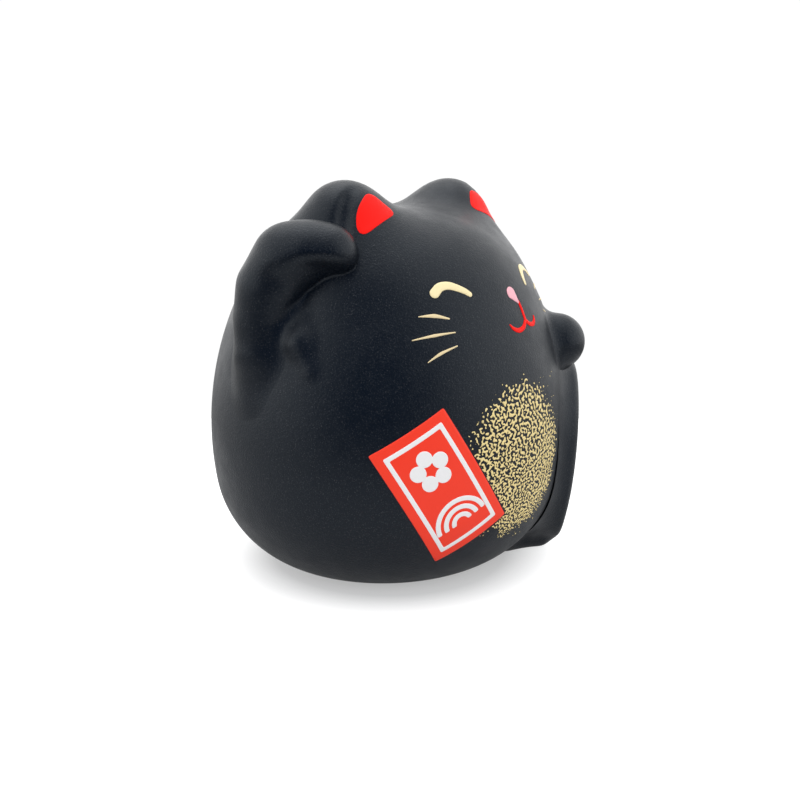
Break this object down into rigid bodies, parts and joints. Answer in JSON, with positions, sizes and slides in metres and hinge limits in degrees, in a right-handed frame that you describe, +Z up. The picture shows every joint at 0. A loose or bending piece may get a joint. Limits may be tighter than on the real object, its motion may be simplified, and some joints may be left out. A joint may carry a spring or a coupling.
{
  "type": "beckoning cat figurine",
  "caption": "Round matte black ceramic cat with a raised right paw, a coin plate under its left paw, a red label and a gold-flecked belly.",
  "frame": {"origin": "centre of the foot, on the surface the cat stands on", "axes": "+Z up, the cat faces -Y, its raised right arm is at -X and its coin plate is at +X"},
  "size_m": [0.0674, 0.0641, 0.07],
  "materials": {
    "black_ceramic": "matte charcoal black glaze with a fine orange-peel texture",
    "red_enamel": "satin red enamel",
    "red_print": "satin red transfer",
    "white_print": "satin white transfer",
    "pink_enamel": "satin pink enamel",
    "gold_paint": "pale gold paint",
    "tan_gold_paint": "tan gold paint",
    "gold_print": "gold transfer flakes"
  },
  "bodies": {
    "root": {"body_shell": "black_ceramic", "beckoning_arm": "black_ceramic", "holding_arm": "black_ceramic", "koban_plate": "black_ceramic", "koban_border": "gold_print", "koban_motif": "gold_print", "ear_patch_right": "red_enamel", "ear_patch_left": "red_enamel", "eye_right": "gold_paint", "eye_left": "gold_paint", "nose": "pink_enamel", "mouth": "red_enamel", "whiskers_right": "tan_gold_paint", "whiskers_left": "tan_gold_paint", "belly_gold_patch": "gold_print", "label_panel": "red_print", "label_frame": "white_print", "label_blossom": "white_print", "label_wave": "white_print"}
  },
  "joints": []
}
